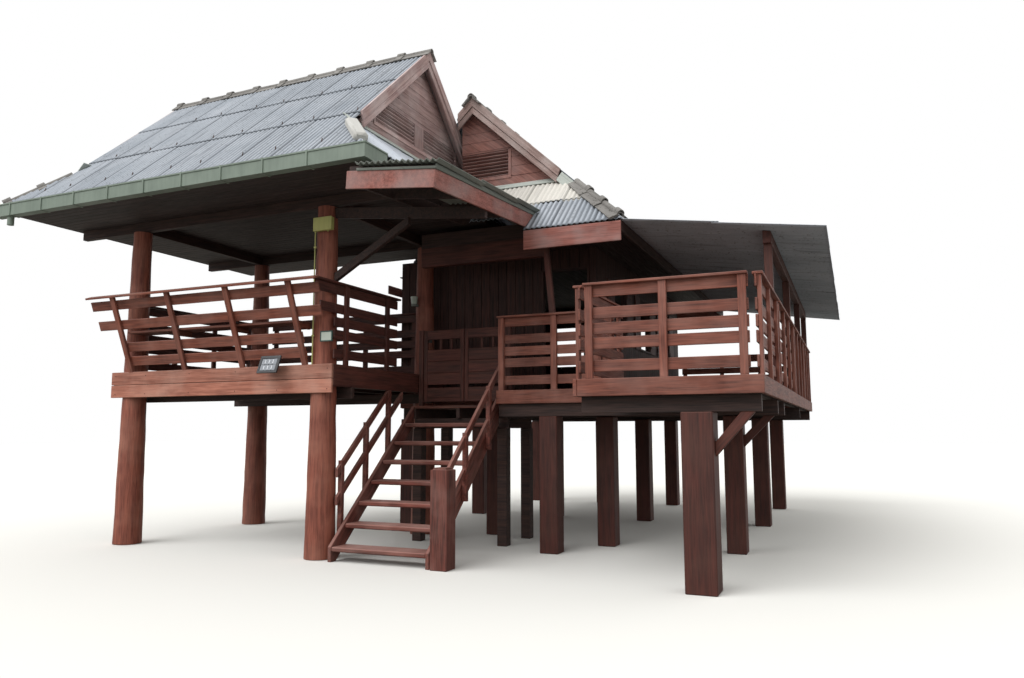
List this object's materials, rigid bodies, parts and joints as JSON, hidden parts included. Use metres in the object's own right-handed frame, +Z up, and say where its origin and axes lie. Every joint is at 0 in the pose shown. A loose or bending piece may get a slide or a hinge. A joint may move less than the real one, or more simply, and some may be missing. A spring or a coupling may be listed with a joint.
{
  "type": "stilt house",
  "caption": "Timber stilt house: open pavilion with a gablet roof, covered stair with a gate, and a gabled house with a veranda behind.",
  "frame": {"origin": "centre of the foot of the pavilion's corner post by the stair, at ground level", "axes": "+X along the front to the right, +Y to the back, +Z up"},
  "size_m": [11.2414, 11.4807, 7.5078],
  "materials": {
    "stained_timber": "matte, weathered stain",
    "dark_timber": "matte, dark stain",
    "roof_sheets": "weathered fibre cement sheets",
    "concrete_caps": "rough cast caps",
    "painted_gutter": "satin paint",
    "enamelled_box": "satin paint",
    "lamp_glass": "frosted",
    "solar_glass": "gloss"
  },
  "bodies": {
    "house": {"pavilion_posts": "stained_timber", "pavilion_bearers": "dark_timber", "pavilion_joists": "dark_timber", "pavilion_floor": "stained_timber", "pavilion_edge_boards": "stained_timber", "pavilion_front_railing": "stained_timber", "pavilion_side_railings": "stained_timber", "pavilion_eave_beams": "dark_timber", "pavilion_ceiling": "dark_timber", "pavilion_eave_boards": "dark_timber", "pavilion_roof": "roof_sheets", "pavilion_gables": "stained_timber", "pavilion_bargeboards": "stained_timber", "pavilion_roof_caps": "concrete_caps", "pavilion_gutter": "painted_gutter", "stair_stringers": "stained_timber", "stair_treads": "stained_timber", "newel_post": "stained_timber", "stair_railings": "stained_timber", "landing_floor": "stained_timber", "landing_frame": "dark_timber", "gate_posts": "stained_timber", "stair_roof": "roof_sheets", "stair_roof_edge_boards": "stained_timber", "stair_roof_beams": "dark_timber", "house_posts": "stained_timber", "house_bearers": "dark_timber", "house_joists": "dark_timber", "house_floor": "stained_timber", "veranda_floor": "stained_timber", "floor_edge_boards": "stained_timber", "front_wall": "stained_timber", "left_wall": "stained_timber", "right_wall": "stained_timber", "back_wall": "stained_timber", "window_shutters": "stained_timber", "house_ceiling": "dark_timber", "house_roof": "roof_sheets", "house_gables": "stained_timber", "house_bargeboards": "stained_timber", "house_roof_caps": "concrete_caps", "house_eave_boards": "stained_timber", "veranda_posts": "stained_timber", "veranda_beams": "dark_timber", "veranda_roof": "roof_sheets", "veranda_railings": "stained_timber", "side_deck_braces": "stained_timber", "junction_box": "enamelled_box", "flood_lamp": "lamp_glass", "solar_panel": "solar_glass", "wall_lamp": "lamp_glass"},
    "gate_left": {"gate_left_leaf": "stained_timber"},
    "gate_right": {"gate_right_leaf": "stained_timber"}
  },
  "joints": [
    {"name": "gate_left_hinge", "type": "hinge", "parent": "house", "child": "gate_left", "pos_m": [0.36, 2.093, 2.6], "axis": [0, 0, 1], "range_deg": [0, 90]},
    {"name": "gate_right_hinge", "type": "hinge", "parent": "house", "child": "gate_right", "pos_m": [1.776, 2.093, 2.6], "axis": [0, 0, -1], "range_deg": [0, 90]}
  ]
}
